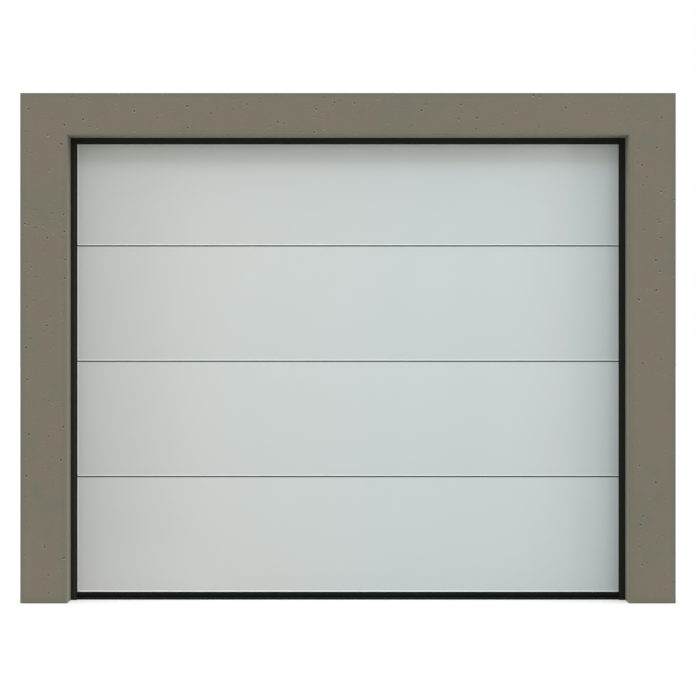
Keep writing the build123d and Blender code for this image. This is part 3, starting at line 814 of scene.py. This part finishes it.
def hinge(seat):
    """One hinge with its pin and eight screws."""
    leaves = hinge_leaf(seat, 1, MIDDLE_KNUCKLE) + hinge_leaf(seat, -1, OUTER_KNUCKLES)
    pin = rod((0, BARREL_Y, 0), "X", PIN_R, 2 * (HINGE_HALF + PIN_END), sides=14)
    heads = [rounded(rod((side * (HINGE_HALF + PIN_HEAD / 2), BARREL_Y, 0), "X", PIN_HEAD_R, PIN_HEAD,
                         sides=14), FINE_EDGE) for side in (-1, 1)]
    screws = set_out(SCREW, rows(HINGE_SCREW_COLUMNS, seat + PLATE, HINGE_SCREW_LEVELS))
    return joined(leaves + [pin] + heads + screws)


centre_hinge = hinge(LEAF_REAR)
centre = joined(copied(centre_hinge, *[(x, 0, level) for x in CENTRE_HINGES for level in JOINTS]))
fitted(centre, "centre_hinge_set", "zinc_steel", stands_for=["centre_hinges"])
put_away(centre_hinge)


# Roller hinges: end hinges that carry a roller's folded holder on their upper leaf

HOLDER_REACH = 0.030
HOLDER_FOLD = 0.0078
BRIM_NEAR = 0.0085
BRIM_FAR = 0.019


def roller_holder():
    """Folded holder with its two flat brims, round a roller shaft on z = 0."""
    shell = block((-HOLDER_REACH, PLATE_REAR, -HOLDER_HALF),
                  (HOLDER_REACH, TRACK_Y + HOLDER_HALF, HOLDER_HALF))
    with Editing(shell) as edit:
        edit.edges(lambda a, b: along("X")(a, b) and a.y > PLATE_REAR + SAME_PLACE)
        bpy.ops.mesh.bevel(offset=HOLDER_FOLD, segments=5, affect="EDGES")
        edit.faces(lambda *face: facing("X")(*face) or facing("Y", -1)(*face))
        bpy.ops.mesh.delete(type="FACE")
    applied(shell, "SOLIDIFY", thickness=PLATE, offset=-1)
    parts = [shell]
    for side in (-1, 1):
        low, high = beside_joint(side, BRIM_NEAR, BRIM_FAR)
        brim = block((-HOLDER_REACH, PLATE_REAR, low), (HOLDER_REACH, PLATE_REAR + PLATE, high))
        parts.append(rounded(brim, FINE_EDGE))
    return parts


end_hinge = hinge(STILE_REAR)
end_holder = joined(roller_holder())
end_parts = []
for level in JOINTS:
    end_parts += copied(end_hinge, (END_HINGE, 0, level))
    end_parts += copied(end_holder, (END_HINGE, 0, level + ROLLER_RISE))
pair(joined(end_parts), "roller_hinge_set", "zinc_steel", stands_for=["roller_hinges"])
put_away(end_hinge, end_holder)

# The bottom bracket and the top carrier keep their solids and get their screws
bottom_seats = rows((END_HINGE - 0.024, END_HINGE + 0.024), PLATE_REAR, (0.100, 0.146))
top_seats = rows((END_HINGE - 0.018, END_HINGE + 0.018), PLATE_REAR, (1.945, 2.002))
pair(joined(set_out(SCREW, bottom_seats + top_seats)), "bracket_screws", "zinc_steel")


# Rollers: nylon tyre with dished sides, round a steel ball bearing

TYRE_R = 0.022
TYRE_WIDE = 0.016
TYRE_RIM = 0.0045
TYRE_DISH = 0.0022
TYRE_STEP = 0.0012
TYRE_EDGE = 0.0011
RACE_R = 0.0158
RACE_WIDE = 0.0012
RACE_OFF = 0.0065
RACE_RING = 0.0022
SHIELD_DEEP = 0.0007
SHIELD_RING = 0.0052
SHAFT_RING_HIGH = 0.0010
NUT_R = 0.0068
NUT_HIGH = 0.0016
NUT_OFF = 0.0078
NUT_EDGE = 0.0006


def tyre():
    """Nylon roller at the origin, turned about X, with dished sides and rounded rims."""
    wheel = rod((0, 0, 0), "X", TYRE_R, TYRE_WIDE, sides=40)
    with Editing(wheel) as edit:
        edit.faces(facing("X"))
        bpy.ops.mesh.inset(thickness=TYRE_RIM, use_individual=True)
        for side in (-1, 1):
            edit.faces(hub(side))
            extruded(-side * TYRE_DISH)
            bpy.ops.mesh.inset(thickness=TYRE_STEP)
    return rounded(wheel, TYRE_EDGE, steps=3)


def bearing():
    """Outer ring, sunk shield and inner ring of a bearing on both sides, and the shaft's nut."""
    parts = []
    for side in (-1, 1):
        face = rod((side * RACE_OFF, 0, 0), "X", RACE_R, RACE_WIDE, sides=32)
        with Editing(face) as edit:
            edit.faces(facing("X", side))
            bpy.ops.mesh.inset(thickness=RACE_RING)
            extruded(-side * SHIELD_DEEP)
            bpy.ops.mesh.inset(thickness=SHIELD_RING)
            extruded(side * SHAFT_RING_HIGH)
        parts.append(face)
    nut = rod((NUT_OFF, 0, 0), "X", NUT_R, NUT_HIGH, sides=20)
    return joined(parts + [rounded(nut, NUT_EDGE)])


tread = tyre()
race = bearing()
roller_moves = [(TRACK_MIDDLE, y, z) for y, z in ROLLERS]
pair(joined(copied(tread, *roller_moves)), "roller_tyres", "roller_nylon", stands_for=["rollers"])
pair(joined(copied(race, *roller_moves)), "roller_bearings", "bright_steel")
put_away(tread, race)


# Springs: stretched coils whose wire ends in a hook over each pin

WIRE_SIDES = 8
TURN_STEPS = 14


def coil(x):
    """One stretched spring with its end hooks, standing at x."""
    deselect()
    bpy.ops.mesh.primitive_circle_add(vertices=WIRE_SIDES, radius=WIRE_R, location=(COIL_R, 0, 0),
                                      rotation=TURNS["Y"])
    wire = applied(settle(), "SCREW", steps=TURN_STEPS, render_steps=TURN_STEPS, iterations=COIL_TURNS,
                   screw_offset=(COIL_HIGH - COIL_LOW) / COIL_TURNS, use_merge_vertices=False)
    with Editing(wire):
        bpy.ops.mesh.select_all(action="SELECT")
        bpy.ops.mesh.fill_holes(sides=WIRE_SIDES)
    parts = [moved(wire, (x, BLOCK_Y, COIL_LOW))]
    for level, end, side in ((ANCHOR_Z, COIL_LOW, 1), (YOKE_PIN_Z, COIL_HIGH, -1)):
        hook = ring((x, BLOCK_Y, level), "X", HOOK_R, WIRE_R, around=24, across=WIRE_SIDES)
        arm = rod((x + COIL_R / 2, BLOCK_Y, end), "X", WIRE_R, COIL_R, sides=WIRE_SIDES)
        neck = rod((x, BLOCK_Y, (end + level + side * HOOK_R) / 2), "Z", WIRE_R,
                   abs(end - level) - HOOK_R + 2 * WIRE_R, sides=WIRE_SIDES)
        parts += [hook, arm, neck]
    shape = joined(parts)
    with Editing(shape) as edit:
        edit.turn_outwards()
    return shape


pair(joined([coil(SPRING_X - SPRING_OFF), coil(SPRING_X + SPRING_OFF)]), "spring_coils", "spring_steel",
     angle=60, stands_for=["springs"])


# Cable: six twisted strands from the bracket's eye over the pulleys to the fixed eye

ROPE_LAY = 0.026
ROPE_SPAN = 0.1
ROPE_END = 0.016
ROPE_STEPS = 40
END_HANDLE = 0.01
STAR_POINTS = 24
STRAND_DIP = 0.00032
EYE_R = 0.0078
EYE_WIRE_R = 0.0021
FERRULE_R = 0.0042
FERRULE_LONG = 0.016
FERRULE_OFF = 0.0175
FERRULE_EDGE = 0.0012
# Reach of a curve's handles that makes a quarter circle, for a radius of 1
QUARTER_HANDLE = 0.5523


def straight_run(x, y, start, stop, leaving=END_HANDLE, arriving=END_HANDLE):
    """Points of an upright stretch of cable: place, direction and reach of its two handles."""
    spans = round(abs(stop - start) / ROPE_SPAN)
    step = (stop - start) / spans
    third = ROPE_SPAN / 3
    points = []
    for index in range(spans + 1):
        before = arriving if index == 0 else third
        after = leaving if index == spans else third
        points.append(((x, y, start + index * step), (0, 0, math.copysign(1, step)), before, after))
    return points


def cable_route():
    """Points of the whole cable, up, over the top pulley, down, round the block and up again."""
    over = PULLEY_R * QUARTER_HANDLE
    under = BLOCK_R * QUARTER_HANDLE
    route = straight_run(CABLE_X, CABLE_Y, PEG_Z + ROPE_END, PULLEY_Z, over)
    route += [((PULLEY_X, CABLE_Y, PULLEY_Z + PULLEY_R), (1, 0, 0), over, over)]
    route += straight_run(SPRING_X, CABLE_Y, PULLEY_Z, BLOCK_Z, under, over)
    route += [((SPRING_X, BLOCK_Y, BLOCK_Z - BLOCK_R), (0, -1, 0), under, under)]
    route += straight_run(SPRING_X, DEAD_END_Y, BLOCK_Z, DEAD_END_Z - ROPE_END, arriving=under)
    return route


def strand_star():
    """Outline of six strands round a core, as a closed curve."""
    deselect()
    bpy.ops.curve.primitive_bezier_circle_add(radius=ROPE_R)
    star = bpy.context.object
    star.data.splines.clear()
    outline = star.data.splines.new("POLY")
    outline.points.add(STAR_POINTS - 1)
    for index, point in enumerate(outline.points):
        angle = math.tau * index / STAR_POINTS
        reach = ROPE_R - STRAND_DIP + STRAND_DIP * abs(math.cos(3 * angle))
        point.co = (reach * math.cos(angle), reach * math.sin(angle), 0, 1)
    outline.use_cyclic_u = True
    return star


def pressed_eye(x, y, z, axis, side):
    """Eye round a pin, with its ferrule above (1) or below (-1) it."""
    ferrule = rod((x, y, z + side * FERRULE_OFF), "Z", FERRULE_R, FERRULE_LONG, sides=20)
    return [ring((x, y, z), axis, EYE_R, EYE_WIRE_R), rounded(ferrule, FERRULE_EDGE)]


def rope():
    """Right-hand cable as a twisted star swept along its run, and its pressed eyes."""
    star = strand_star()
    route = cable_route()
    bpy.ops.curve.primitive_bezier_curve_add()
    run = bpy.context.object
    line = run.data.splines[0]
    line.bezier_points.add(len(route) - 2)
    spans = [(Vector(after[0]) - Vector(before[0])).length for before, after in zip(route, route[1:])]
    travelled = -sum(spans) / 2
    for point, (place, way, before, after), span in zip(line.bezier_points, route, spans + [0.0]):
        point.handle_left_type = point.handle_right_type = "FREE"
        point.co = place
        point.handle_left = Vector(place) - Vector(way) * before
        point.handle_right = Vector(place) + Vector(way) * after
        point.tilt = math.tau * travelled / ROPE_LAY
        travelled += span
    run.data.dimensions = "3D"
    line.resolution_u = ROPE_STEPS
    run.data.bevel_mode = "OBJECT"
    run.data.bevel_object = star
    run.data.use_fill_caps = True
    pick(run)
    bpy.ops.object.convert(target="MESH")
    strands = settle()
    with Editing(strands) as edit:
        edit.merge(ROPE_WELD)
        edit.turn_outwards()
    put_away(star)
    return joined([strands] + pressed_eye(CABLE_X, CABLE_Y, PEG_Z, "X", 1)
                  + pressed_eye(SPRING_X, DEAD_END_Y, DEAD_END_Z, "Y", -1))


pair(rope(), "lift_rope", "bright_steel", finish=ROPE, angle=50, stands_for=["lift_cable"])


# Cable pulleys: grooved nylon wheels with dished webs and a thick boss

FLANGE = 0.005
FLANGE_LIP = 0.0009
GROOVE_DEEP = 0.0070
WHEEL_WIDE = 0.012
WHEEL_RIM = 0.0035
WEB_DEEP = 0.0020
BOSS_R = 0.0115
BOSS_HIGH = 0.0018
WHEEL_EDGE = 0.0010


def pulley(rope_radius):
    """Pulley at the origin, turned about X, with a groove that its cable lies in at a radius."""
    outer = rope_radius + FLANGE
    wheel = rod((0, 0, 0), "X", outer, WHEEL_WIDE, sides=48)
    with Editing(wheel) as edit:
        edit.faces(lambda *face: not facing("X")(*face))
        bpy.ops.mesh.inset(thickness=FLANGE_LIP)
        bpy.ops.mesh.extrude_region_shrink_fatten(TRANSFORM_OT_shrink_fatten={"value": -GROOVE_DEEP})
        edit.faces(hub())
        bpy.ops.mesh.inset(thickness=WHEEL_RIM, use_individual=True)
        for side in (-1, 1):
            edit.faces(hub(side))
            extruded(-side * WEB_DEEP)
            bpy.ops.mesh.inset(thickness=outer - WHEEL_RIM - BOSS_R)
            extruded(side * BOSS_HIGH)
    return rounded(wheel, WHEEL_EDGE)


top_move = Matrix.Translation((PULLEY_X, CABLE_Y, PULLEY_Z)) @ Matrix.Rotation(math.pi / 2, 4, "Z")
top_wheel = moved(pulley(PULLEY_R), top_move)
block_wheel = moved(pulley(BLOCK_R), (SPRING_X, BLOCK_Y, BLOCK_Z))
pair(joined([top_wheel, block_wheel]), "pulley_wheels", "pulley_nylon", stands_for=["pulleys"])


# Screws, rivets and bolts that hold the frame and the tracks

wall_seats = rows((1.215, 1.280), LEG_REAR, (0.10, 0.55, 1.00, 1.45, 1.90, 2.06))
pair(joined(set_out(SCREW, wall_seats)), "frame_screws", "zinc_steel")
rail_seats = rows((-1.05, -0.63, -0.21, 0.21, 0.63, 1.05), LEG_REAR, (HEADER_SCREWS_Z,))
fitted(joined(set_out(SCREW, rail_seats)), "header_screws", "zinc_steel")

bracket_side = TRACK_OUTER + PLATE
bolt_seats = [(0.046, level + 0.020) for level in (0.25, 0.85, 1.45)]
rivet_seats = [(TRACK_Y, BEND_FOOT + rise) for rise in (-0.032, -0.014, 0.014, 0.032)]
rivet_seats += [(y, UPPER_TRACK_Z) for y in (0.02, 0.09, 0.20, 0.33)]
rivet_seats += [(y, RUNNING_TRACK_Z) for y in (0.36, 0.40)]
rivet_seats += [(y, z) for y in (1.316, 1.376, 2.280, 2.340) for z in (RUNNING_TRACK_Z, UPPER_TRACK_Z)]
side_bolts = set_out(SCREW, [(bracket_side, y, z) for y, z in bolt_seats], TO_THE_SIDE)
side_rivets = set_out(RIVET, [(bracket_side, y, z) for y, z in rivet_seats], TO_THE_SIDE)
pair(joined(side_bolts + side_rivets), "track_fasteners", "zinc_steel")
put_away(SCREW, RIVET)


# Joint gaskets: the dark rubber lips that close the gaps between the sections

GASKET_HALF = 1.182
GASKET_FRONT = -0.0145
GASKET_REAR = -0.0112
GASKET_RISE = 0.0018
GASKET_LIP = 0.0010


def gasket(level):
    """Rubber lip in one joint, set back from the leaf's face."""
    lip = block((-GASKET_HALF, GASKET_FRONT, level - GASKET_RISE),
                (GASKET_HALF, GASKET_REAR, level + GASKET_RISE))
    with Editing(lip) as edit:
        edit.faces(facing("Y", -1))
        bpy.ops.mesh.bevel(offset=GASKET_LIP, segments=2, affect="EDGES")
    return lip


fitted(joined([gasket(level) for level in JOINTS]), "joint_gaskets", "seal_rubber")


# Beads: the shallow ribs that stiffen the inner sheet between the end stiles

BEADS = 20
BEAD_STEP = 0.1
BEAD_HALF = 1.091
BEAD_RISE = 0.0045
BEAD_PROUD = 0.0016
BEAD_SUNK = 0.0010
BEAD_CROWN = (0.9975, 1.0, 0.50)
BEAD_EDGE = 0.0013


def bead(level):
    """One rib on the leaf's inner sheet, with softly rounded flanks and closed ends."""
    rib = block((-BEAD_HALF, LEAF_REAR - BEAD_SUNK, level - BEAD_RISE),
                (BEAD_HALF, LEAF_REAR + BEAD_PROUD, level + BEAD_RISE))
    with Editing(rib) as edit:
        edit.faces(facing("Y", 1))
        bpy.ops.transform.resize(value=BEAD_CROWN, center_override=(0, LEAF_REAR, level))
        edit.edges(lambda a, b: along("X")(a, b) and a.y > LEAF_REAR)
        bpy.ops.mesh.bevel(offset=BEAD_EDGE, segments=3, affect="EDGES")
    return rib


bead_levels = [LEAF_FOOT + BEAD_STEP / 2 + BEAD_STEP * count for count in range(BEADS)]
fitted(joined([bead(level) for level in bead_levels]), "panel_beads", "panel_coating", angle=60)


# Camera, straight in front of the door at half its height

CAMERA_PLACE = (0.0, -15.22, 1.091)
CAMERA_LENS = 181.45

eye = bpy.data.cameras.new("front_camera")
eye.sensor_width = 36.0
eye.lens = CAMERA_LENS
eye.clip_end = 200.0
camera = bpy.data.objects.new("front_camera", eye)
camera.location = CAMERA_PLACE
camera.rotation_euler = (math.pi / 2, 0.0, 0.0)
bpy.context.scene.collection.objects.link(camera)
bpy.context.scene.camera = camera


# Plain studio: white surroundings, a soft key from the front and soft fills from both sides and behind

SOFT_SKY = 0.55
FLOOR_GLOW = 0.385
FLOOR_WIDE = 400
# Name, strength, spread in degrees, and the way in which the light shines
LIGHTS = (
    ("front_key", 0.76, 55, (-0.2, 1.0, -0.28)),
    ("right_fill", 1.65, 45, (-1.0, 0.28, -0.12)),
    ("left_fill", 1.00, 45, (1.0, 0.22, -0.12)),
    ("rear_fill", 0.6, 60, (0.35, -1.0, -0.75)),
)


def soft_light(name, energy, spread, towards):
    """A very wide distant light that shines one way."""
    lamp = bpy.data.lights.new(name, "SUN")
    lamp.energy = energy
    lamp.angle = math.radians(spread)
    stand = bpy.data.objects.new(name, lamp)
    stand.rotation_euler = Vector(towards).to_track_quat("-Z", "Y").to_euler()
    bpy.context.scene.collection.objects.link(stand)


studio = bpy.data.worlds.new("studio")
bpy.context.scene.world = studio
sky = Shading(studio)
soft = sky.node("Background", {"Color": WHITE, "Strength": SOFT_SKY})
white = sky.node("Background", {"Color": WHITE, "Strength": 1.0})
sky.made("OutputWorld", {"Surface": sky.node("MixShader", {0: sky.watched(), 1: soft, 2: white})})
for light in LIGHTS:
    soft_light(*light)

deselect()
bpy.ops.mesh.primitive_plane_add(size=FLOOR_WIDE, location=(0, 0, 0))
floor = bpy.context.object
floor.name = "studio_floor"
ground = Finish("studio_floor")
paint = ground.shade(tone(250, 250, 250), 0.99 + ground.noise(3.0) * 0.01)
matt = ground.node("BsdfDiffuse", {"Color": paint})
glow = ground.node("Emission", {"Color": WHITE, "Strength": FLOOR_GLOW})
bright = ground.node("AddShader", {0: matt, 1: glow})
shown = ground.node("MixShader", {0: ground.watched(), 1: matt, 2: bright})
ground.made("OutputMaterial", {"Surface": shown})
floor.data.materials.append(ground.material)

bpy.context.scene.view_settings.view_transform = "Standard"
